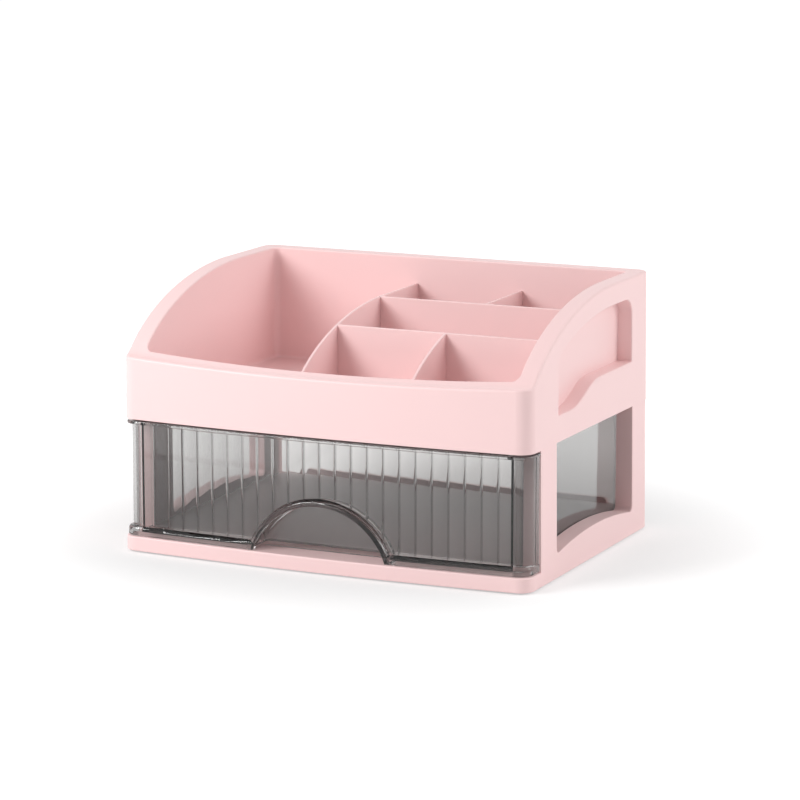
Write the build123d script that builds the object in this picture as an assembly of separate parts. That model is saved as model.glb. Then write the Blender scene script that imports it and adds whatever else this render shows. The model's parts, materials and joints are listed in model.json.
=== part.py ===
from build123d import *
import math
import os

# Desktop drawer storage box: a moulded frame with one smoked drawer, and a divided tray that stands on it.
# Millimetres, +Z up, +X to the right, front at -Y. The origin is the middle of the footprint, on the
# surface that the four pads stand on.

# Overall sizes
width = 245.0  # across the sides of the base
depth = 183.7  # from the middle of the bowed front to the back
bow = 4.5  # how far the middle of the front stands out
corner = 8.5  # upright corners of the frame and the tray
frame_height = 74.4  # base to the seam under the tray
tray_height = 73.8  # seam to the back rim
draft = 0.59  # degrees that the outer walls lean in
pad_proud = 1.0  # pads hold the base off the surface by this much
overrun = 20.0  # cuts pass the faces that they break by this much
quarter = 90.0  # degrees of a quarter turn

# Frame
ledge_height = 8.2  # top of the base, which shows as a ledge under the drawer's front
base_plate = 2.4
frame_skin = 2.2
side_wall = 10.5  # base's outside to a post's inner face
post_front = 21.1  # bow's middle to the front face of the front posts
window_front = 43.6  # bow's middle to the front edge of a side window
window_rear = 27.3  # back of the box to the rear edge of a side window
window_low = 13.2  # window's sill at its ends, above the base
window_rise = 5.0  # how far the sill arches up in its middle
window_corner = 3.0
lip_gap = 15.0  # posts to the ends of the rear lip
lip_height = 14.4  # top of the rear lip above the base
lip_thickness = 2.8
lip_corner = 3.4
runner_place = 36.0  # middle of the box to a runner
runner_width = 1.2
runner_height = 2.2
runner_setback = 32.0  # runners stop this far from the front and the back
ledge_round = 1.0
base_round = 0.6  # lower edge of the base
window_round = 0.6  # outer edges of the windows
peg_length = 11.0
peg_width = 5.2
peg_height = 4.4

# Pads under the base
pad_radius = 7.0
pad_thickness = 1.8
pad_inset = 20.0  # from the sides and the back to a pad's middle
pad_gap = 0.2
boss_wall = 1.8

# Tray
overhang = 0.45  # tray stands out past the frame at the seam
rim = 10.8  # width of the double wall at the seam
tray_skin = 2.2
basin_skin = 1.8
basin_floor = 7.6  # top of the floor above the seam
floor_skin = 2.2
basin_corner = 4.0
basin_foot = 2.0  # fillet between the basin's walls and its floor
arch_foot = 5.8  # springing of the ellipse that the sides follow, above the seam
arch_lead = 0.9  # how far before the bow's middle that ellipse springs
arch_crown = 54.6  # back of the box to the point where the sides reach their full height
dip_height = 31.9  # front rim above the seam in its middle
dip_rise = 3.2  # how much higher the front rim is at the sides
arch_blend = 9.0  # hollow between the front rim and the arched sides
rim_round = 1.4
rim_inner_round = 0.9
rim_skin = 3.0  # plastic over the hollow of the double wall
upper_share = 0.2  # a face that looks up by more than this is part of the rim

# Finger pockets in the tray's sides
pocket_front = 45.1  # bow's middle to the pocket's front edge
pocket_rear = 29.6  # back of the box to the pocket's rear edge
pocket_low = 14.4  # pocket's sill above the seam at its front
pocket_step = 11.2  # rise of the sill towards the back
pocket_corner = 9.0
pocket_round = 0.8  # outer edge of the pocket
pocket_arch_gap = 12.0  # pocket's upper edge stays this far under the arch
pocket_flat_share = 0.16  # part of the pocket's length before the sill rises
pocket_crest_share = 0.56  # part of the pocket's length where the sill has risen

# Partitions
partition = 1.6
partition_round = 0.5  # upper edges of the partitions
partition_drop = 15.6  # tops of the partitions under the sides
partition_lead = 3.0  # their arch lies this far nearer to the front
long_place = -19.0  # long partition's middle
cross_shares = (0.338, 0.681)  # places of the cross partitions along the basin
seat_gap = 0.1

# Drawer
slide_gap = 0.4
head_gap = 1.2  # between the drawer's front and the tray
tub_gap = 0.6  # between the tub and the posts
tub_wall = 1.3
tub_floor = 1.2
tub_back_gap = 7.6  # back of the box to the back of the tub
tub_top_gap = 1.4  # seam to the tub's rim
tub_rim = 3.2  # width of the rim round the tub's opening
tub_rim_height = 1.6
tub_corner = 7.0
tub_foot = 0.8  # fillet between the tub's walls and its floor
flange_inset = 0.9  # drawer's flanges behind the base's outline
panel_inset = 3.6  # crests of the flutes behind the base's outline
panel_side = 1.4  # sides of the fluted panel inside the base's outline
panel_corner = 10.0  # upright corners of the fluted panel
flute_pitch = 9.4
plain_corner = 9.7  # base's outside to the first flute
flute_depth = 0.32  # valleys between the flutes
flute_shoulder = 0.85  # rounded edge of a flute beside a valley
flute_hollow = 0.06  # how far the face of a flute is dished
front_wall = 1.8
top_flange = 1.8
bar_height = 5.2
bar_wall = 2.0
bar_round = 2.0
flange_round = 0.6

# Arched pull
pull_radius = 44.4
pull_apex = 38.8  # top of the arch above the base
pull_wall = 2.6
pull_round = 0.9  # rim of the arch
pull_depth = 15.0  # bow's middle to the pull's rear panel
pull_corner = 2.0  # round between the arched wall and the rear panel, inside
pull_flare = 2.8  # how far the arch widens from its rim to the fluted panel

# Levels and places worked out from those sizes
z_base = pad_proud
z_ledge = z_base + ledge_height
z_seam = z_base + frame_height
z_rim = z_seam + tray_height
front_y = -depth / 2
back_y = depth / 2
bow_radius = (width**2 / 4 + bow**2) / (2 * bow)
bow_centre = front_y + bow_radius
frame_lean = frame_height * math.tan(math.radians(draft))
tray_inset = frame_lean - overhang
basin_inset = tray_inset + rim
z_floor = z_seam + basin_floor
crown_y = back_y - arch_crown
arch_run = depth - arch_crown + arch_lead
arch_rise = tray_height - arch_foot
bay_half = width / 2 - side_wall
window_length = depth - window_front - window_rear
pocket_length = depth - pocket_front - pocket_rear
flute_count = round((width - 2 * plain_corner) / flute_pitch)
valley_inset = panel_inset + flute_depth
panel_back = valley_inset + front_wall
shoulder_radius = (flute_shoulder**2 + flute_depth**2) / (2 * flute_depth)
z_tub = z_ledge + runner_height + slide_gap


def front_at(x, inset):
    """Front of the footprint at x, for a footprint moved in by inset."""
    return bow_centre - math.sqrt((bow_radius - inset) ** 2 - x**2)


def outline(inset, radius, side=None):
    """Footprint moved in by inset, or by side at its sides: bowed front, straight sides and back."""
    half = width / 2 - (inset if side is None else side)
    edge = front_at(half, inset)
    back = back_y - inset
    bowed = ThreePointArc((-half, edge), (0, front_at(0, inset)), (half, edge))
    straight = Polyline((half, edge), (half, back), (-half, back), (-half, edge))
    face = make_face(bowed + straight)
    return fillet(face.vertices(), radius)


def rise(sketch, low, high, lean=0):
    """Prism of a footprint between two heights, with walls that lean in by so many degrees."""
    return extrude(Pos(0, 0, low) * sketch, high - low, taper=lean)


def box(x0, x1, y0, y1, z0, z1):
    """Box between two corners."""
    middle = Pos((x0 + x1) / 2, (y0 + y1) / 2, (z0 + z1) / 2)
    return middle * Box(x1 - x0, y1 - y0, z1 - z0)


def standing(radius, low, high):
    """Upright cylinder between two heights."""
    return Pos(0, 0, low) * Cylinder(radius, high - low, align=(Align.CENTER, Align.CENTER, Align.MIN))


def across(profile, x0, x1):
    """Prism along X of a profile drawn in Y and Z."""
    return extrude(Plane.YZ.offset(x0) * profile, x1 - x0)


def along(profile, y0, y1):
    """Prism along Y of a profile drawn in X and Z."""
    return extrude(Plane.XZ.offset(-y0) * profile, y0 - y1)


def mirrored(shape):
    """The same shape on the other side of the box."""
    return mirror(shape, Plane.YZ)


def under_arch(drop, lead):
    """Profile in Y and Z under the sides' arch, lowered by drop and moved to the front by lead."""
    crown = crown_y - lead
    top = z_rim - drop
    springing = top - arch_rise
    foot = z_base - overrun
    end = back_y + overrun
    start = crown - arch_run
    middle = (crown, springing)
    arc = EllipticalCenterArc(middle, arch_run, arch_rise, start_angle=quarter, arc_size=quarter)
    rest = Polyline((start, springing), (start, foot), (end, foot), (end, top), (crown, top))
    return make_face(arc + rest)


def arch_height(y, drop, lead):
    """Height at y of the arch that under_arch draws."""
    share = max(crown_y - lead - y, 0) / arch_run
    return z_rim - drop - arch_rise * (1 - math.sqrt(1 - share**2))


# Frame
def side_window():
    """Profile in Y and Z of a side window: arched sill, open at the top."""
    start = front_y + window_front
    end = start + window_length
    low = z_base + window_low
    top = z_seam + overrun
    sill = ThreePointArc((start, low), ((start + end) / 2, low + window_rise), (end, low))
    jambs = Polyline((end, low), (end, top), (start, top), (start, low))
    face = make_face(sill + jambs)
    return fillet(face.vertices().group_by(Axis.Y)[0], window_corner)


def on_window_rim(edge):
    """Whether an edge of the frame lies on the outer rim of a side window."""
    middle = edge.center()
    start = front_y + window_front - frame_skin
    end = back_y - window_rear + frame_skin
    beside = abs(middle.X) > bay_half + side_wall / 2 and start < middle.Y < end
    return beside and middle.Z > z_base + window_low / 2


def pad_places():
    """Middles of the four pads, by name."""
    x = width / 2 - pad_inset
    near = front_at(x, 0) + pad_inset
    far = back_y - pad_inset
    return {
        "front_left_pad": (-x, near),
        "front_right_pad": (x, near),
        "rear_left_pad": (-x, far),
        "rear_right_pad": (x, far),
    }


def frame_hollow():
    """What the core takes out of the frame from below: under the base, in the posts and in the sills."""
    plate_low = z_ledge - base_plate
    hollow = rise(outline(frame_skin, corner - frame_skin), z_base - overrun, plate_low)
    inner = bay_half + frame_skin
    outer = width / 2 - frame_lean - frame_skin
    post_top = z_seam - frame_skin
    sill_top = z_base + window_low - frame_skin
    near = front_y + post_front + frame_skin
    far = back_y - corner
    window_start = front_y + window_front
    window_end = window_start + window_length
    front_post = box(inner, outer, near, window_start - frame_skin, z_base, post_top)
    rear_post = box(inner, outer, window_end + frame_skin, far, z_base, post_top)
    side = front_post + rear_post + box(inner, outer, near, far, z_base, sill_top)
    hollow = hollow + side + mirrored(side)
    boss = standing(pad_radius + pad_gap + boss_wall, z_base, plate_low)
    for x, y in pad_places().values():
        hollow -= Pos(x, y) * boss
    return hollow


def pegs():
    """Four pegs on the posts that keep the tray in its place."""
    near = bay_half + frame_skin
    front = (front_y + post_front + front_y + window_front) / 2
    rear = (front_y + window_front + window_length + back_y) / 2
    half = peg_length / 2
    low = z_seam - frame_skin
    high = z_seam + peg_height
    right = box(near, near + peg_width, front - half, front + half, low, high)
    right += box(near, near + peg_width, rear - half, rear + half, low, high)
    return right + mirrored(right)


def rear_lip():
    """Low wall at the back, with rounded upper corners, that stops the drawer."""
    low = z_ledge - base_plate
    half = bay_half - lip_gap
    face = Rectangle(2 * half, z_base + lip_height - low, align=(Align.CENTER, Align.MIN))
    face = fillet(face.vertices().group_by(Axis.Y)[-1], lip_corner)
    back = back_y - frame_skin / 2
    return along(Pos(0, low) * face, back - lip_thickness, back)


def runners():
    """Two ribs on the base that the drawer slides on."""
    low = z_ledge - base_plate / 2
    high = z_ledge + runner_height
    inner = runner_place - runner_width / 2
    outer = runner_place + runner_width / 2
    right = box(inner, outer, front_y + runner_setback, back_y - runner_setback, low, high)
    return right + mirrored(right)


def drawer_frame():
    """Base, sills, posts, rear lip, runners and pegs in one moulding."""
    body = rise(outline(0, corner), z_base, z_seam, draft)
    body = fillet(body.faces().sort_by(Axis.Z)[0].edges(), base_round)
    past = width / 2 + overrun
    bay = box(-bay_half, bay_half, front_y - overrun, back_y + overrun, z_ledge, z_seam + overrun)
    mouth = box(-past, past, front_y - overrun, front_y + post_front, z_ledge, z_seam + overrun)
    body -= bay + mouth
    body -= across(side_window(), -past, past)
    ledge = body.faces().filter_by(Axis.Z).group_by(Axis.Z)[1]
    front_edges = ledge.edges().filter_by(lambda e: e.center().Y < front_y + corner)
    body = fillet(front_edges, ledge_round)
    body = fillet(body.edges().filter_by(on_window_rim), window_round)
    body += rear_lip() + runners() + pegs()
    body -= frame_hollow()
    seat = standing(pad_radius + pad_gap, z_base - overrun, pad_thickness)
    for x, y in pad_places().values():
        body -= Pos(x, y) * seat
    return body


def pad(x, y):
    """Soft pad in its seat under the base."""
    return Pos(x, y) * standing(pad_radius, 0, pad_thickness)


# Tray
def tray_envelope():
    """All that lies under the tray's upper surface: arched sides run into a dipped front."""
    half = width / 2
    low = z_base - overrun
    dip = z_seam + dip_height
    ends = dip + dip_rise
    arc = ThreePointArc((-half, ends), (0, dip), (half, ends))
    edge = Polyline((half, ends), (half, low), (-half, low), (-half, ends))
    front = along(make_face(arc + edge), front_y - overrun, back_y + overrun)
    both = front + across(under_arch(0, 0), -half, half)
    near = both.edges().filter_by(lambda e: front_y < e.center().Y < (front_y + crown_y) / 2)
    crease = near.filter_by(lambda e: e.center().Z > z_seam and e.bounding_box().size.X > half)
    return fillet(crease, arch_blend)


def upper_edges(body):
    """Edges that run round the tray's upper surface."""
    low = z_seam + dip_height
    uppers = body.faces().filter_by(lambda f: f.normal_at().Z > upper_share and f.center().Z > low)
    seen = [edge for face in uppers for edge in face.edges()]
    return ShapeList(edge for edge in seen if sum(edge.is_same(other) for other in seen) == 1)


def within_rim(edge):
    """Whether an edge lies on the inner half of the rim."""
    middle = edge.center()
    inset = basin_inset - rim / 2
    if abs(middle.X) > width / 2 - inset:
        return False
    return front_at(middle.X, inset) < middle.Y < back_y - inset


def basin(gap):
    """Space inside the tray, moved in by gap."""
    space = rise(outline(basin_inset + gap, basin_corner), z_floor + gap, z_rim + overrun)
    foot = space.faces().sort_by(Axis.Z)[0].edges()
    return fillet(foot, basin_foot)


def pocket_profile(grow):
    """Profile in Y and Z of a finger pocket, moved out by grow: wavy sill, upper edge under the arch."""
    front = front_y + pocket_front
    start = front - grow
    end = front + pocket_length + grow
    low = z_seam + pocket_low - grow
    high = low + pocket_step
    top = z_rim
    flat_end = front + pocket_flat_share * pocket_length
    crest = front + pocket_crest_share * pocket_length
    wave = Spline((flat_end, low), (crest, high), tangents=((1, 0), (1, 0)))
    edge = Polyline((crest, high), (end, high), (end, top), (start, top), (start, low), (flat_end, low))
    face = make_face(wave + edge) & under_arch(pocket_arch_gap - grow, 0)
    by_depth = face.vertices().group_by(Axis.X)
    uppers = [by_depth[0].sort_by(Axis.Y)[-1], by_depth[-1].sort_by(Axis.Y)[-1]]
    return fillet(uppers, pocket_corner + grow)


def on_pocket_rim(edge):
    """Whether an edge of the tray lies on the outer rim of a finger pocket."""
    middle = edge.center()
    start = front_y + pocket_front - basin_skin
    end = back_y - pocket_rear + basin_skin
    beside = abs(middle.X) > width / 2 - rim / 2 and start < middle.Y < end
    return beside and z_seam + pocket_low / 2 < middle.Z < arch_height(middle.Y, pocket_arch_gap / 2, 0)


def tray_hollow():
    """What the core takes out of the tray from below: inside the double wall and under the floor."""
    past = width / 2 + overrun
    skin = outline(tray_inset + tray_skin, corner - tray_skin)
    hollow = rise(skin, z_seam - overrun, z_seam) + rise(skin, z_seam, z_rim, draft)
    hollow &= Pos(0, 0, -rim_skin) * tray_envelope()
    lining = outline(basin_inset - basin_skin, basin_corner + basin_skin)
    hollow -= rise(lining, z_floor - floor_skin, z_rim + overrun)
    return hollow - across(pocket_profile(basin_skin), -past, past)


def top_tray():
    """Tray with its double wall, rounded rim, basin and finger pockets."""
    body = rise(outline(tray_inset, corner), z_seam, z_rim, draft) & tray_envelope()
    body = fillet(upper_edges(body), rim_round)
    body -= basin(0)
    body = fillet(upper_edges(body).filter_by(within_rim), rim_inner_round)
    body -= tray_hollow()
    pocket_back = width / 2 - basin_inset + basin_skin
    pocket = across(pocket_profile(0), pocket_back, width / 2 + overrun)
    body -= pocket + mirrored(pocket)
    return fillet(body.edges().filter_by(on_pocket_rim), pocket_round)


# Partitions
def partitions():
    """Plates that divide the tray, by name: a long one, two cross ones on its right, and two short ones."""
    space = basin(seat_gap)
    reach = width / 2
    front_in = front_at(0, basin_inset)
    length = back_y - basin_inset - front_in
    front_cross, rear_cross = (front_in + share * length for share in cross_shares)
    long_side = long_place + partition / 2 + seat_gap
    short_place = (long_side + reach - basin_inset) / 2
    half = partition / 2
    curved = under_arch(partition_drop, partition_lead)

    def lengthwise(x):
        plate = across(curved, x - half, x + half)
        sides = plate.edges().filter_by(lambda e: e.center().Z > z_seam and e.bounding_box().size.X < half)
        return fillet(sides, partition_round)

    def cross(y):
        top = arch_height(y, partition_drop, partition_lead)
        plate = box(long_side, reach, y - half, y + half, z_seam, top)
        return fillet(plate.edges().filter_by(Axis.X).group_by(Axis.Z)[-1], partition_round)

    def short(y0, y1):
        return lengthwise(short_place) & box(-reach, reach, y0, y1, z_seam, z_rim)

    plates = {
        "long_partition": lengthwise(long_place),
        "front_cross_partition": cross(front_cross),
        "rear_cross_partition": cross(rear_cross),
        "front_short_partition": short(front_y, front_cross - half - seat_gap),
        "rear_short_partition": short(rear_cross + half + seat_gap, back_y),
    }
    return {name: plate & space for name, plate in plates.items()}


# Drawer
def ahead_of_posts(low, high):
    """Space in front of the posts between two heights."""
    past = width / 2 + overrun
    return box(-past, past, front_y - overrun, front_y + post_front - slide_gap, low, high)


def flange(low, high, upper_round):
    """Flange round the drawer's front between two heights."""
    block = rise(outline(flange_inset, corner - flange_inset), low, high)
    block = fillet(block.faces().sort_by(Axis.Z)[-1].edges(), upper_round)
    block = fillet(block.faces().sort_by(Axis.Z)[0].edges(), flange_round)
    return block & ahead_of_posts(low, high)


def flute(left):
    """Footprint of one flute from a valley at left: a slightly dished face between rounded shoulders."""
    right = left + flute_pitch
    middle = (left + right) / 2
    near, far = left + flute_shoulder, right - flute_shoulder
    root = valley_inset + front_wall / 2
    start = (left, front_at(left, valley_inset))
    rising = (near, front_at(near, panel_inset))
    falling = (far, front_at(far, panel_inset))
    end = (right, front_at(right, valley_inset))
    face = ThreePointArc(rising, (middle, front_at(middle, panel_inset + flute_hollow)), falling)
    shoulders = RadiusArc(start, rising, -shoulder_radius) + RadiusArc(falling, end, -shoulder_radius)
    behind = Polyline(end, (right, front_at(right, root)), (left, front_at(left, root)), start)
    return make_face(face + shoulders + behind)


def reeds():
    """Footprint of the row of upright flutes on the drawer's front."""
    row = Sketch()
    for place in range(flute_count):
        row += flute((place - flute_count / 2) * flute_pitch)
    return row


def tub_footprint(inset, front_inset):
    """Footprint of the tub moved in by inset, with its front front_inset behind the box's footprint."""
    half = bay_half - tub_gap - inset
    back = back_y - tub_back_gap - inset
    sheet = Pos(0, back) * Rectangle(2 * half, depth, align=(Align.CENTER, Align.MAX))
    sheet = fillet(sheet.vertices().group_by(Axis.Y)[-1], tub_corner - inset)
    return sheet & outline(front_inset, corner - front_inset)


def tub():
    """Open box of the drawer, behind its front."""
    high = z_seam - tub_top_gap
    rim_low = high - tub_rim_height
    space = rise(tub_footprint(tub_wall, panel_back), z_tub + tub_floor, rim_low)
    space = fillet(space.faces().sort_by(Axis.Z)[0].edges(), tub_foot)
    space += rise(tub_footprint(tub_rim, panel_back), rim_low, high + overrun)
    return rise(tub_footprint(0, valley_inset + front_wall / 2), z_tub, high) - space


def pull_disc(inset, back):
    """Disc of the arched pull, moved in by inset, that ends rounded so far behind the bow's middle."""
    face = Pos(0, z_base + pull_apex - pull_radius) * Circle(pull_radius - inset)
    disc = along(face, front_y - overrun, front_y + back)
    return fillet(disc.faces().sort_by(Axis.Y)[-1].edges(), pull_corner + pull_wall - inset)


def pull_collar():
    """Cone that widens from the rim of the arch to the fluted panel."""
    start = front_y + flange_inset
    place = Pos(0, start, z_base + pull_apex - pull_radius) * Rot(-quarter, 0, 0)
    reach = (Align.CENTER, Align.CENTER, Align.MIN)
    return place * Cone(pull_radius, pull_radius + pull_flare, panel_back - flange_inset, align=reach)


def pull_hood(low, high):
    """Hood over the fingers between two heights: arched wall with a rounded rim, and a rear panel."""
    block = rise(outline(flange_inset, corner - flange_inset), low, high)
    hood = block & (pull_disc(0, pull_depth + pull_wall) + pull_collar())
    hood -= pull_disc(pull_wall, pull_depth)
    edges = hood.faces().sort_by(Axis.Y)[0].edges()
    return fillet(edges.filter_by(lambda e: e.bounding_box().size.X > pull_radius), pull_round)


def drawer():
    """Drawer in one moulding: fluted front with its flange and bar, tub, and arched pull."""
    low = z_ledge + slide_gap
    high = z_seam - head_gap
    panel = rise(outline(valley_inset, panel_corner, panel_side), low, high)
    front = panel & ahead_of_posts(low, high)
    front += rise(reeds(), low, high)
    front += flange(high - top_flange, high, flange_round)
    front += flange(low, low + bar_height, bar_round)
    inside = outline(panel_back, panel_corner - front_wall, panel_side + front_wall)
    front -= rise(inside, low - overrun, high + overrun)
    behind_bar = flange_inset + bar_wall
    front -= rise(outline(behind_bar, corner - behind_bar), low - overrun, z_tub)
    body = front + tub() - pull_disc(pull_wall / 2, pull_depth) + pull_hood(low, high)
    return body - pull_disc(pull_wall, pull_depth)


if __name__ == "__main__":
    os.makedirs("parts", exist_ok=True)
    nodes = {"drawer_frame": drawer_frame(), "top_tray": top_tray(), "drawer": drawer()}
    nodes.update(partitions())
    nodes.update({name: pad(x, y) for name, (x, y) in pad_places().items()})
    for name, shape in nodes.items():
        export_step(shape, f"parts/{name}.step")
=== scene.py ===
"""Looks of a drawer storage box: a moulded frame, a smoked drawer and a divided tray.

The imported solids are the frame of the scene. This file gives them their finishes, and sets up the floor,
the light and the camera. Lengths are in metres, +Z is up, and the drawer's front faces -Y.
"""

import json
import logging
import math
from dataclasses import dataclass
from enum import Enum

import bpy
import numpy as np
from mathutils import Matrix, Vector

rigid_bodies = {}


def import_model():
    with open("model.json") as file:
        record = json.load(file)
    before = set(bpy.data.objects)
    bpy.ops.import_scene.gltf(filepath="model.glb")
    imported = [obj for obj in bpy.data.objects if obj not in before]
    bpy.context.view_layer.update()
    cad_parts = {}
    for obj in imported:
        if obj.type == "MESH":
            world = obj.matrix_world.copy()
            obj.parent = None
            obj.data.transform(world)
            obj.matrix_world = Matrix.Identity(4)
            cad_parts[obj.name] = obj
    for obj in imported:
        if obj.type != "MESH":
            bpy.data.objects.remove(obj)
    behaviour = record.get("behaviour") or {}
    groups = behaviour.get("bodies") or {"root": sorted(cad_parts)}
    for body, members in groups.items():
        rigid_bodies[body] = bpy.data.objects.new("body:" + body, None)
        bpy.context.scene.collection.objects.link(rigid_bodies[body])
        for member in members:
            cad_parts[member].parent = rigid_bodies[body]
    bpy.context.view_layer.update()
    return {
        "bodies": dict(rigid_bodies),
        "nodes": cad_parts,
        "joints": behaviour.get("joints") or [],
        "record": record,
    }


LOG = logging.getLogger("drawer_storage_box")
MM = 0.001
NUMBER, COLOUR = "NodeSocketFloat", "NodeSocketColor"
Colour = tuple[float, float, float, float]
Point = tuple[float, float, float]
WHITE: Colour = (1.0, 1.0, 1.0, 1.0)


class Slot(Enum):
    """Material slots of the record."""

    PINK = "pink_plastic"
    SMOKED = "smoked_plastic"
    RUBBER = "pad_rubber"


class Ray(Enum):
    """Kinds of ray that a Light Path node tells apart."""

    CAMERA = "Is Camera Ray"
    TRANSMISSION = "Is Transmission Ray"
    GLOSSY = "Is Glossy Ray"
    SHADOW = "Is Shadow Ray"
    DIFFUSE = "Is Diffuse Ray"


class Nodes:
    """A node tree with short ways to add and join nodes."""

    def __init__(self, tree: bpy.types.NodeTree) -> None:
        """Starts from an empty tree.

        Args:
            tree: node tree of a material, a world or a group.
        """
        self.tree = tree
        tree.nodes.clear()

    def add(self, kind: str, **settings: object) -> bpy.types.Node:
        """Adds a node.

        Args:
            kind: Blender's name of the node's type.
            settings: properties of the node.

        Returns:
            The new node.
        """
        node = self.tree.nodes.new(kind)
        for name, value in settings.items():
            setattr(node, name, value)
        return node

    def join(self, source: bpy.types.NodeSocket, target: bpy.types.NodeSocket) -> None:
        """Links an output to an input."""
        self.tree.links.new(source, target)

    def feed(self, value: object, target: bpy.types.NodeSocket) -> None:
        """Links an input to a socket, or sets it to a plain number.

        Args:
            value: socket or number.
            target: the input.
        """
        if isinstance(value, bpy.types.NodeSocket):
            self.join(value, target)
        else:
            target.default_value = value

    def use(self, group: bpy.types.NodeTree, values: dict[str, object]) -> bpy.types.Node:
        """Places a node group.

        Args:
            group: the group's tree.
            values: plain value by input name.

        Returns:
            The group's node.
        """
        node = self.add("ShaderNodeGroup", node_tree=group)
        for name, value in values.items():
            node.inputs[name].default_value = value
        return node

    def place(self) -> bpy.types.NodeSocket:
        """Adds the Object coordinates, in metres."""
        return self.add("ShaderNodeTexCoord").outputs["Object"]

    def math(
        self, operation: str, first: object, second: object = 0.0, clamp: bool = False
    ) -> bpy.types.NodeSocket:
        """Adds a Math node.

        Args:
            operation: Blender's name of the operation.
            first: socket or number.
            second: socket or number.
            clamp: whether the result is kept between 0 and 1.

        Returns:
            The node's output.
        """
        node = self.add("ShaderNodeMath", operation=operation, use_clamp=clamp)
        self.feed(first, node.inputs[0])
        self.feed(second, node.inputs[1])
        return node.outputs[0]

    def ease(
        self, value: bpy.types.NodeSocket, low: object, high: object, start: float, end: float
    ) -> bpy.types.NodeSocket:
        """Adds a soft step from one level to another.

        Args:
            value: what is read.
            low: reading up to which the first level holds, as a socket or a number.
            high: reading from which the second level holds, as a socket or a number.
            start: the first level.
            end: the second level.

        Returns:
            The eased level.
        """
        node = self.add("ShaderNodeMapRange", interpolation_type="SMOOTHSTEP")
        self.join(value, node.inputs["Value"])
        self.feed(low, node.inputs["From Min"])
        self.feed(high, node.inputs["From Max"])
        node.inputs["To Min"].default_value = start
        node.inputs["To Max"].default_value = end
        return node.outputs["Result"]

    def noise(
        self, place: bpy.types.NodeSocket, scale: object, detail: float, rough: float
    ) -> bpy.types.NodeSocket:
        """Adds a noise texture.

        Args:
            place: coordinates to read it at.
            scale: features per metre, as a number or a socket.
            detail: octaves.
            rough: weight of each finer octave.

        Returns:
            The noise as a value around one half.
        """
        node = self.add("ShaderNodeTexNoise")
        self.join(place, node.inputs["Vector"])
        self.feed(scale, node.inputs["Scale"])
        node.inputs["Detail"].default_value = detail
        node.inputs["Roughness"].default_value = rough
        return node.outputs["Fac"]

    def shaded(
        self, colour: bpy.types.NodeSocket, shade: bpy.types.NodeSocket
    ) -> bpy.types.NodeSocket:
        """Makes a colour darker or lighter.

        Args:
            colour: the colour.
            shade: what it is multiplied by.

        Returns:
            The new colour.
        """
        node = self.add("ShaderNodeVectorMath", operation="SCALE")
        self.join(colour, node.inputs[0])
        self.join(shade, node.inputs["Scale"])
        return node.outputs["Vector"]

    def bumped(self, height: bpy.types.NodeSocket, depth: float) -> bpy.types.NodeSocket:
        """Turns a height into a normal.

        Args:
            height: height as a value from 0 to 1.
            depth: what a height of 1 stands for.

        Returns:
            The normal.
        """
        node = self.add("ShaderNodeBump")
        node.inputs["Strength"].default_value = 1.0
        node.inputs["Distance"].default_value = depth
        self.join(height, node.inputs["Height"])
        return node.outputs["Normal"]

    def any_ray(self, *rays: Ray) -> bpy.types.NodeSocket:
        """A value that is 1 for rays of these kinds and 0 for others.

        Args:
            rays: kinds of ray.

        Returns:
            The value's socket.
        """
        path = self.add("ShaderNodeLightPath")
        total = path.outputs[rays[0].value]
        for ray in rays[1:]:
            total = self.math("MAXIMUM", total, path.outputs[ray.value])
        return total

    def seen(self) -> bpy.types.NodeSocket:
        """A value that is 1 where the eye looks, directly, in a reflection or through clear plastic."""
        return self.any_ray(Ray.CAMERA, Ray.GLOSSY, Ray.TRANSMISSION)


def new_group(
    name: str, inputs: dict[str, tuple[str, object]], outputs: dict[str, str]
) -> tuple[Nodes, bpy.types.Node, bpy.types.Node]:
    """Makes an empty shader node group.

    Args:
        name: the group's name.
        inputs: socket type and default value by input name.
        outputs: socket type by output name.

    Returns:
        The group's nodes, its input node and its output node.
    """
    tree = bpy.data.node_groups.new(name, "ShaderNodeTree")
    for key, (kind, default) in inputs.items():
        socket = tree.interface.new_socket(name=key, in_out="INPUT", socket_type=kind)
        socket.default_value = default
    for key, kind in outputs.items():
        tree.interface.new_socket(name=key, in_out="OUTPUT", socket_type=kind)
    nodes = Nodes(tree)
    return nodes, nodes.add("NodeGroupInput"), nodes.add("NodeGroupOutput")


def new_material(name: str) -> tuple[bpy.types.Material, Nodes]:
    """Makes a material with an empty node tree.

    Args:
        name: the material's name.

    Returns:
        The material and its nodes.
    """
    made = bpy.data.materials.new(name)
    made.use_nodes = True
    return made, Nodes(made.node_tree)


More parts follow.
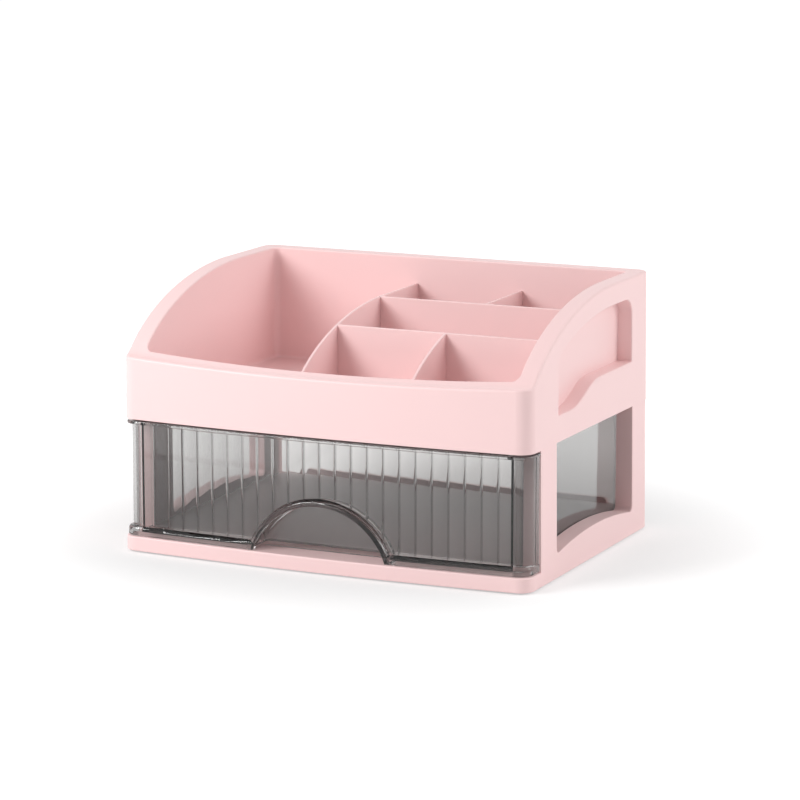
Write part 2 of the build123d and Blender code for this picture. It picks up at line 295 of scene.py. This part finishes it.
def moulded_skin_group() -> bpy.types.NodeTree:
    """Group for moulded skins: slow change of shade, patchy gloss, and a fine spark-eroded grain.

    Returns:
        The group's tree.
    """
    patches_per_shade = 3.0
    nodes, given, made = new_group(
        "moulded_skin",
        {
            "Colour": (COLOUR, (0.8, 0.8, 0.8, 1.0)),
            "Shade Spread": (NUMBER, 0.03),
            "Shade Scale": (NUMBER, 14.0),
            "Roughness": (NUMBER, 0.4),
            "Gloss Spread": (NUMBER, 0.08),
            "Grain Scale": (NUMBER, 2200.0),
        },
        {"Colour": COLOUR, "Roughness": NUMBER, "Height": NUMBER},
    )
    place = nodes.place()
    broad = nodes.noise(place, given.outputs["Shade Scale"], detail=2.0, rough=0.5)
    swing = nodes.math("MULTIPLY", nodes.math("SUBTRACT", broad, 0.5), given.outputs["Shade Spread"])
    shade = nodes.math("ADD", swing, 1.0)
    nodes.join(nodes.shaded(given.outputs["Colour"], shade), made.inputs["Colour"])
    patch_scale = nodes.math("MULTIPLY", given.outputs["Shade Scale"], patches_per_shade)
    patch = nodes.noise(place, patch_scale, detail=3.0, rough=0.6)
    gloss = nodes.math("MULTIPLY", nodes.math("SUBTRACT", patch, 0.5), given.outputs["Gloss Spread"])
    nodes.join(nodes.math("ADD", given.outputs["Roughness"], gloss, clamp=True), made.inputs["Roughness"])
    grain = nodes.noise(place, given.outputs["Grain Scale"], detail=2.0, rough=0.55)
    nodes.join(grain, made.inputs["Height"])
    return nodes.tree


def handled_gloss_group() -> bpy.types.NodeTree:
    """Group for polished clear plastic: wipe marks in the gloss, a slow waviness, and a frosted floor.

    Returns:
        The group's tree.
    """
    wipe_stretch = (1.0, 1.0, 4.0)
    wipe_tilt = math.radians(24.0)
    wipe_scale = 30.0
    wipe_start = 0.45
    nodes, given, made = new_group(
        "handled_gloss",
        {
            "Roughness": (NUMBER, 0.03),
            "Wipe Spread": (NUMBER, 0.04),
            "Wave Scale": (NUMBER, 45.0),
            "Frost": (NUMBER, 0.4),
            "Frost Top": (NUMBER, 0.0),
            "Frost Front": (NUMBER, 0.0),
        },
        {"Roughness": NUMBER, "Height": NUMBER},
    )
    place = nodes.place()
    stretch = nodes.add("ShaderNodeMapping")
    stretch.inputs["Scale"].default_value = wipe_stretch
    stretch.inputs["Rotation"].default_value = (0.0, wipe_tilt, 0.0)
    nodes.join(place, stretch.inputs["Vector"])
    wipe = nodes.noise(stretch.outputs["Vector"], wipe_scale, detail=4.0, rough=0.65)
    smear = nodes.math("SUBTRACT", wipe, wipe_start, clamp=True)
    marks = nodes.math("MULTIPLY", smear, given.outputs["Wipe Spread"])
    polish = nodes.math("ADD", given.outputs["Roughness"], marks, clamp=True)
    axes = nodes.add("ShaderNodeSeparateXYZ")
    nodes.join(place, axes.inputs[0])
    below = nodes.math("LESS_THAN", axes.outputs["Z"], given.outputs["Frost Top"])
    behind = nodes.math("GREATER_THAN", axes.outputs["Y"], given.outputs["Frost Front"])
    frost = nodes.math("MULTIPLY", nodes.math("MULTIPLY", below, behind), given.outputs["Frost"])
    nodes.join(nodes.math("MAXIMUM", polish, frost), made.inputs["Roughness"])
    waves = nodes.noise(place, given.outputs["Wave Scale"], detail=1.0, rough=0.5)
    nodes.join(waves, made.inputs["Height"])
    return nodes.tree


def smoke_and_painted_shade_group() -> bpy.types.NodeTree:
    """Group for the tint of a drawer with painted light and shade: sides painted darker, a front painted
    paler, and flutes painted to fade to a dark valley.

    Returns:
        The group's tree.
    """
    valley_core, valley_edge = 0.02, 0.06
    nodes, given, made = new_group(
        "smoke_and_painted_shade",
        {
            "Tub Colour": (COLOUR, (0.7, 0.7, 0.7, 1.0)),
            "Front Colour": (COLOUR, (0.9, 0.9, 0.9, 1.0)),
            "Front Half": (NUMBER, 0.1),
            "Front Reach": (NUMBER, 0.0),
            "Tub Start": (NUMBER, 0.01),
            "Side Start": (NUMBER, 0.1),
            "Side Painted Shade": (NUMBER, 0.2),
            "Pitch": (NUMBER, 0.01),
            "Fade": (NUMBER, 0.05),
            "Painted Valley Shade": (NUMBER, 0.2),
            "Flute Back": (NUMBER, 0.0),
            "Flute Foot": (NUMBER, 0.0),
        },
        {"Colour": COLOUR},
    )
    axes = nodes.add("ShaderNodeSeparateXYZ")
    nodes.join(nodes.place(), axes.inputs[0])
    across, inward, up = axes.outputs["X"], axes.outputs["Y"], axes.outputs["Z"]
    aside = nodes.math("ABSOLUTE", across)
    within = nodes.math("LESS_THAN", aside, given.outputs["Front Half"])
    # Painted shade: each flute is painted darker towards its far side, and the line between two flutes is
    # painted dark. This stands in for the light and shade that the curved flutes throw.
    turn = nodes.math("FRACT", nodes.math("DIVIDE", across, given.outputs["Pitch"]))
    near = nodes.math("MINIMUM", turn, nodes.math("SUBTRACT", 1.0, turn))
    line = nodes.ease(near, valley_core, valley_edge, start=1.0, end=0.0)
    fade = nodes.math("MULTIPLY", turn, given.outputs["Fade"])
    painted_flute_darkening = nodes.math("ADD", fade, nodes.math("MULTIPLY", line, given.outputs["Painted Valley Shade"]))
    ahead = nodes.math("LESS_THAN", inward, given.outputs["Flute Back"])
    above = nodes.math("GREATER_THAN", up, given.outputs["Flute Foot"])
    fluted = nodes.math("MULTIPLY", nodes.math("MULTIPLY", ahead, above), within)
    flute_painted_shading = nodes.math("SUBTRACT", 1.0, nodes.math("MULTIPLY", painted_flute_darkening, fluted))
    # Painted light: the front is painted in a paler tint than the tub, which is painted darker, though both
    # are one moulding.
    early = nodes.ease(inward, given.outputs["Front Reach"], given.outputs["Tub Start"], start=1.0, end=0.0)
    front = nodes.math("MULTIPLY", early, within)
    # Painted shade: the tub's sides and the front's rounded ends are painted darker than the rest of the
    # smoke.
    beside = nodes.math("GREATER_THAN", aside, given.outputs["Side Start"])
    side_painted_shade_mask = nodes.math("MULTIPLY", beside, nodes.math("SUBTRACT", 1.0, front))
    shade = nodes.math("SUBTRACT", flute_painted_shading, nodes.math("MULTIPLY", side_painted_shade_mask, given.outputs["Side Painted Shade"]))
    tint = nodes.add("ShaderNodeMixRGB")
    nodes.join(front, tint.inputs["Fac"])
    nodes.join(given.outputs["Tub Colour"], tint.inputs["Color1"])
    nodes.join(given.outputs["Front Colour"], tint.inputs["Color2"])
    nodes.join(nodes.shaded(tint.outputs["Color"], shade), made.inputs["Colour"])
    return nodes.tree


@dataclass(frozen=True)
class MouldedSkin:
    """Opaque moulded finish: satin plastic or soft rubber.

    Attributes:
        name: the material's name.
        colour: colour of the skin.
        roughness: roughness of the skin.
        shade_spread: how far the shade swings over the piece.
        gloss_spread: how far the roughness swings over the piece.
        grain_scale: grains per metre.
        grain_height: height of a grain.
        specular: level of the plain reflection.
    """

    name: str
    colour: Colour
    roughness: float
    shade_spread: float
    gloss_spread: float
    grain_scale: float
    grain_height: float
    specular: float

    def material(self, moulded_skin: bpy.types.NodeTree) -> bpy.types.Material:
        """Builds the material.

        Args:
            moulded_skin: the group for moulded skins.

        Returns:
            The new material.
        """
        made, nodes = new_material(self.name)
        skin = nodes.use(moulded_skin, {
            "Colour": self.colour,
            "Shade Spread": self.shade_spread,
            "Roughness": self.roughness,
            "Gloss Spread": self.gloss_spread,
            "Grain Scale": self.grain_scale,
        })
        shader = nodes.add("ShaderNodeBsdfPrincipled")
        shader.inputs["Specular IOR Level"].default_value = self.specular
        nodes.join(skin.outputs["Colour"], shader.inputs["Base Color"])
        nodes.join(skin.outputs["Roughness"], shader.inputs["Roughness"])
        nodes.join(nodes.bumped(skin.outputs["Height"], self.grain_height), shader.inputs["Normal"])
        out = nodes.add("ShaderNodeOutputMaterial")
        nodes.join(shader.outputs["BSDF"], out.inputs["Surface"])
        return made


@dataclass(frozen=True)
class DrawerFront:
    """Tint of the drawer's front and its flutes, with painted light and shade.

    Attributes:
        tint: colour of the front between its rounded ends, the smoke painted paler than the tub's.
        half: half the width between those ends.
        reach: how far back the front's painted paler tint goes, along Y.
        tub_start: from where the tub's tint, painted darker than the front's, begins, along Y.
        side_start: inner face of the tub's sides, along X.
        side_painted_shade: how much darker the sides and the rounded ends are painted.
        pitch: width of a flute.
        fade: how much darker a flute is painted at its far side.
        painted_valley_shade: how much darker the line between two flutes is painted.
        flute_back: rear of the flutes, along Y.
        flute_foot: foot of the flutes, along Z.
    """

    tint: Colour
    half: float
    reach: float
    tub_start: float
    side_start: float
    side_painted_shade: float
    pitch: float
    fade: float
    painted_valley_shade: float
    flute_back: float
    flute_foot: float


@dataclass(frozen=True)
class SmokedClear:
    """Clear plastic with a grey tint in its skin, partly painted light and shade, and some smoke in its
    mass.

    Attributes:
        name: the material's name.
        index: index of refraction.
        tint: colour of the tub and of the front's rounded ends, the smoke painted darker than the front's.
        front: painted paler tint of the front, and the painted shade of its flutes.
        roughness: roughness of the polished skin.
        wipe_spread: how far wipe marks raise it.
        wave_height: height of the slow waves in the skin.
        smoke: colour of the mass.
        density: how strongly the mass takes up light, per metre.
        lamp_tint: share of the lamps' light that each skin lets through.
        frost: roughness of the tub's floor.
        frost_top: top of the floor, along Z.
        frost_front: front edge of the floor, along Y.
    """

    name: str
    index: float
    tint: Colour
    front: DrawerFront
    roughness: float
    wipe_spread: float
    wave_height: float
    smoke: Colour
    density: float
    lamp_tint: Colour
    frost: float
    frost_top: float
    frost_front: float

    def material(
        self, handled_gloss: bpy.types.NodeTree, smoke_and_painted_shade: bpy.types.NodeTree
    ) -> bpy.types.Material:
        """Builds the material.

        Args:
            handled_gloss: the group for polished clear plastic.
            smoke_and_painted_shade: the group for the tint, with its painted light and shade.

        Returns:
            The new material.
        """
        made, nodes = new_material(self.name)
        gloss = nodes.use(handled_gloss, {
            "Roughness": self.roughness,
            "Wipe Spread": self.wipe_spread,
            "Frost": self.frost,
            "Frost Top": self.frost_top,
            "Frost Front": self.frost_front,
        })
        tint = nodes.use(smoke_and_painted_shade, {
            "Tub Colour": self.tint,
            "Front Colour": self.front.tint,
            "Front Half": self.front.half,
            "Front Reach": self.front.reach,
            "Tub Start": self.front.tub_start,
            "Side Start": self.front.side_start,
            "Side Painted Shade": self.front.side_painted_shade,
            "Pitch": self.front.pitch,
            "Fade": self.front.fade,
            "Painted Valley Shade": self.front.painted_valley_shade,
            "Flute Back": self.front.flute_back,
            "Flute Foot": self.front.flute_foot,
        })
        shader = nodes.add("ShaderNodeBsdfPrincipled")
        shader.inputs["Transmission Weight"].default_value = 1.0
        shader.inputs["IOR"].default_value = self.index
        nodes.join(tint.outputs["Colour"], shader.inputs["Base Color"])
        nodes.join(gloss.outputs["Roughness"], shader.inputs["Roughness"])
        nodes.join(nodes.bumped(gloss.outputs["Height"], self.wave_height), shader.inputs["Normal"])
        clear = nodes.add("ShaderNodeBsdfTransparent")
        clear.inputs["Color"].default_value = self.lamp_tint
        mix = nodes.add("ShaderNodeMixShader")
        nodes.join(nodes.any_ray(Ray.SHADOW, Ray.DIFFUSE), mix.inputs["Fac"])
        nodes.join(shader.outputs["BSDF"], mix.inputs[1])
        nodes.join(clear.outputs["BSDF"], mix.inputs[2])
        smoke = nodes.add("ShaderNodeVolumeAbsorption")
        smoke.inputs["Color"].default_value = self.smoke
        smoke.inputs["Density"].default_value = self.density
        out = nodes.add("ShaderNodeOutputMaterial")
        nodes.join(mix.outputs["Shader"], out.inputs["Surface"])
        nodes.join(smoke.outputs["Volume"], out.inputs["Volume"])
        return made


PINK_SATIN = MouldedSkin(
    name="pink_satin_plastic",
    colour=(0.92, 0.662, 0.657, 1.0),
    roughness=0.42,
    shade_spread=0.02,
    gloss_spread=0.08,
    grain_scale=2400.0,
    grain_height=0.012 * MM,
    specular=0.45,
)
SOFT_RUBBER = MouldedSkin(
    name="soft_pad_rubber",
    colour=(0.05, 0.047, 0.047, 1.0),
    roughness=0.72,
    shade_spread=0.2,
    gloss_spread=0.2,
    grain_scale=1400.0,
    grain_height=0.05 * MM,
    specular=0.4,
)
SMOKED_CLEAR = SmokedClear(
    name="smoked_clear_plastic",
    index=1.5,
    # The tub's darker tint and the front's paler tint are painted light and shade over the smoke.
    tint=(0.66, 0.655, 0.65, 1.0),
    front=DrawerFront(
        tint=(0.95, 0.945, 0.94, 1.0),
        half=112.8 * MM,
        reach=-76.0 * MM,
        tub_start=-68.0 * MM,
        side_start=109.5 * MM,
        # Painted shade: the sides are painted darker by this share.
        side_painted_shade=0.21,
        pitch=9.4 * MM,
        # Painted shade: each flute is darkened towards its far side, and the line between flutes more so.
        fade=0.16,
        painted_valley_shade=0.4,
        flute_back=-81.5 * MM,
        flute_foot=14.9 * MM,
    ),
    roughness=0.02,
    wipe_spread=0.05,
    wave_height=0.02 * MM,
    smoke=(0.02, 0.0, 0.0, 1.0),
    density=25.0,
    lamp_tint=(0.74, 0.74, 0.74, 1.0),
    frost=0.45,
    frost_top=13.2 * MM,
    frost_front=-74.0 * MM,
)


@dataclass
class SubAssembly:
    """Nodes of one body that share a finish.

    Attributes:
        body: body that carries the nodes.
        nodes: names of the nodes.
        slot: material slot that they wear.
    """

    body: str
    nodes: tuple[str, ...]
    slot: Slot

    def dress(self, frame: dict, finishes: dict[Slot, bpy.types.Material]) -> None:
        """Gives the nodes their finish.

        Args:
            finishes: material by slot.
        """
        material = finishes[self.slot]
        for name in self.nodes:
            mesh = frame["nodes"][name].data
            mesh.materials.clear()
            mesh.materials.append(material)
            LOG.info("%s rides on %s and wears %s as %s", name, self.body, material.name, self.slot.value)


@dataclass(frozen=True)
class PhotoCamera:
    """Camera that was fitted to the edges in the photograph.

    Attributes:
        azimuth: turn to the right of the front, in degrees.
        elevation: height above the floor, in degrees.
        distance: distance from the middle.
        right_offset: how far the camera is moved right in its own plane.
        up_offset: how far the camera is moved up in its own plane.
        middle: point that the camera would look at without the offsets.
        focal_pixels: focal length in pixels of the photograph.
        image_pixels: width of the photograph in pixels.
        sensor: width of the sensor in Blender's millimetres.
    """

    azimuth: float = 24.796
    elevation: float = 10.963
    distance: float = 1.8667
    right_offset: float = 5.665 * MM
    up_offset: float = 77.312 * MM
    middle: Point = (0.0, 2.25 * MM, 1.0 * MM)
    focal_pixels: float = 3300.0
    image_pixels: float = 800.0
    sensor: float = 36.0

    def place(self) -> bpy.types.Object:
        """Adds the camera. It looks along a line past the middle, moved right and up in its own plane.

        Returns:
            The camera's object.
        """
        turn, tilt = math.radians(self.azimuth), math.radians(self.elevation)
        back = Vector((math.sin(turn) * math.cos(tilt), -math.cos(turn) * math.cos(tilt), math.sin(tilt)))
        right = Vector((math.cos(turn), math.sin(turn), 0.0))
        up = back.cross(right)
        data = bpy.data.cameras.new("photo_camera")
        data.sensor_width = self.sensor
        data.lens = self.focal_pixels * self.sensor / self.image_pixels
        camera = bpy.data.objects.new("photo_camera", data)
        eye = Vector(self.middle) + back * self.distance + right * self.right_offset + up * self.up_offset
        turned = Matrix((right, up, back)).transposed().to_4x4()
        camera.matrix_world = Matrix.Translation(eye) @ turned
        bpy.context.scene.collection.objects.link(camera)
        bpy.context.scene.camera = camera
        return camera


@dataclass(frozen=True)
class Softbox:
    """Square area light that faces the box.

    Attributes:
        name: the light's name.
        towards: direction from the box to the light.
        distance: distance from the box.
        side: length of the light's side.
        level: brightness of a white card that faces the light beside the box.
        aim: point that the light faces.
    """

    name: str
    towards: Point
    distance: float
    side: float
    level: float
    aim: Point = (0.0, 0.0, 70.0 * MM)

    def place(self) -> None:
        """Adds the light, unseen by the camera and through clear plastic."""
        lamp = bpy.data.lights.new(self.name, "AREA")
        lamp.shape = "SQUARE"
        lamp.size = self.side
        lamp.energy = self.level * (math.pi * self.distance) ** 2
        direction = Vector(self.towards).normalized()
        light = bpy.data.objects.new(self.name, lamp)
        light.location = Vector(self.aim) + direction * self.distance
        light.rotation_euler = direction.to_track_quat("Z", "Y").to_euler()
        light.visible_camera = False
        light.visible_transmission = False
        bpy.context.scene.collection.objects.link(light)


KEY_LIGHT = Softbox("key_light", towards=(-0.55, -0.75, 0.55), distance=1.3, side=0.6, level=0.71)
SIDE_LIGHT = Softbox("side_light", towards=(0.85, 0.25, 0.38), distance=1.6, side=0.8, level=0.40)
TOP_LIGHT = Softbox("top_light", towards=(0.25, 0.4, 0.9), distance=1.6, side=0.9, level=0.12)


@dataclass(frozen=True)
class Studio:
    """Pale floor, even white surround and softboxes.

    Attributes:
        lights: the softboxes.
        floor_reach: radius of the floor.
        floor_rings: rings of points in the floor.
        floor_steps: points in a ring.
        floor_roughness: roughness of the floor.
        floor_shade: paleness of the floor where it lights the object.
        seen_shade: paleness of the floor where it is seen.
        floor_lift: glow of the floor where it is seen, near the object.
        far_lift: glow of the floor where it is seen, far away.
        lift_start: distance at which the glow starts to grow.
        lift_end: distance from which it stays the same.
        fill: strength of the surround where it lights the object.
    """

    lights: tuple[Softbox, ...]
    floor_reach: float = 14.0
    floor_rings: int = 12
    floor_steps: int = 64
    floor_roughness: float = 0.9
    floor_shade: float = 0.9
    seen_shade: float = 0.5
    floor_lift: float = 0.49
    far_lift: float = 0.86
    lift_start: float = 0.13
    lift_end: float = 0.31
    fill: float = 0.37

    def build(self) -> None:
        """Adds the floor, the surround and the lights."""
        self.floor()
        self.surround()
        for light in self.lights:
            light.place()

    def floor(self) -> None:
        """Adds the floor: a disc of rings, radius growing with the square of the ring's number."""
        rings, steps = self.floor_rings, self.floor_steps
        radius = self.floor_reach * np.linspace(0.0, 1.0, rings) ** 2
        angle = np.linspace(0.0, 2.0 * np.pi, steps, endpoint=False)
        x = np.outer(radius, np.cos(angle)).ravel()
        y = np.outer(radius, np.sin(angle)).ravel()
        points = np.column_stack((x, y, np.zeros_like(x)))
        ring, step = np.meshgrid(np.arange(rings - 1), np.arange(steps), indexing="ij")
        after = (step + 1) % steps
        inner, outer = ring * steps, (ring + 1) * steps
        faces = np.stack((inner + step, outer + step, outer + after, inner + after), axis=-1)
        mesh = bpy.data.meshes.new("floor")
        mesh.from_pydata(points.tolist(), [], faces.reshape(-1, 4).tolist())
        mesh.materials.append(self.floor_material())
        floor = bpy.data.objects.new("floor", mesh)
        bpy.context.scene.collection.objects.link(floor)

    def floor_material(self) -> bpy.types.Material:
        """A pale matt floor that is lifted to white for the eye, more so far away, and keeps the shadow.

        Returns:
            The new material.
        """
        made, nodes = new_material("pale_floor")
        shader = nodes.add("ShaderNodeBsdfPrincipled")
        shader.inputs["Roughness"].default_value = self.floor_roughness
        shader.inputs["Specular IOR Level"].default_value = 0.0
        shader.inputs["Emission Color"].default_value = WHITE
        seen = nodes.seen()
        change = nodes.math("MULTIPLY", seen, self.seen_shade - self.floor_shade)
        nodes.join(nodes.math("ADD", change, self.floor_shade), shader.inputs["Base Color"])
        away = nodes.add("ShaderNodeVectorMath", operation="LENGTH")
        nodes.join(nodes.place(), away.inputs[0])
        lift = nodes.ease(
            away.outputs["Value"], self.lift_start, self.lift_end, start=self.floor_lift, end=self.far_lift
        )
        nodes.join(nodes.math("MULTIPLY", seen, lift), shader.inputs["Emission Strength"])
        out = nodes.add("ShaderNodeOutputMaterial")
        nodes.join(shader.outputs["BSDF"], out.inputs["Surface"])
        return made

    def surround(self) -> None:
        """Sets the world: white where it is seen, and darker where it lights the object."""
        world = bpy.data.worlds.new("white_surround")
        bpy.context.scene.world = world
        world.use_nodes = True
        nodes = Nodes(world.node_tree)
        mix = nodes.add("ShaderNodeMixShader")
        nodes.join(nodes.seen(), mix.inputs["Fac"])
        for strength, target in ((self.fill, mix.inputs[1]), (1.0, mix.inputs[2])):
            light = nodes.add("ShaderNodeBackground")
            light.inputs["Color"].default_value = WHITE
            light.inputs["Strength"].default_value = strength
            nodes.join(light.outputs["Background"], target)
        out = nodes.add("ShaderNodeOutputWorld")
        nodes.join(mix.outputs["Shader"], out.inputs["Surface"])


def main() -> None:
    """Loads the frame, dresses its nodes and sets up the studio."""
    logging.basicConfig(level=logging.INFO, format="%(name)s: %(message)s")
    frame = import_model()
    bpy.context.scene.view_settings.view_transform = "Standard"
    skin = moulded_skin_group()
    finishes = {
        Slot.PINK: PINK_SATIN.material(skin),
        Slot.RUBBER: SOFT_RUBBER.material(skin),
        Slot.SMOKED: SMOKED_CLEAR.material(handled_gloss_group(), smoke_and_painted_shade_group()),
    }
    partitions = tuple(name for name in frame["nodes"] if name.endswith("_partition"))
    pads = tuple(name for name in frame["nodes"] if name.endswith("_pad"))
    SubAssembly("frame", ("drawer_frame",), Slot.PINK).dress(frame, finishes)
    SubAssembly("frame", pads, Slot.RUBBER).dress(frame, finishes)
    SubAssembly("tray", ("top_tray",) + partitions, Slot.PINK).dress(frame, finishes)
    SubAssembly("drawer", ("drawer",), Slot.SMOKED).dress(frame, finishes)
    Studio((KEY_LIGHT, SIDE_LIGHT, TOP_LIGHT)).build()
    PhotoCamera().place()


if __name__ == "__main__":
    main()
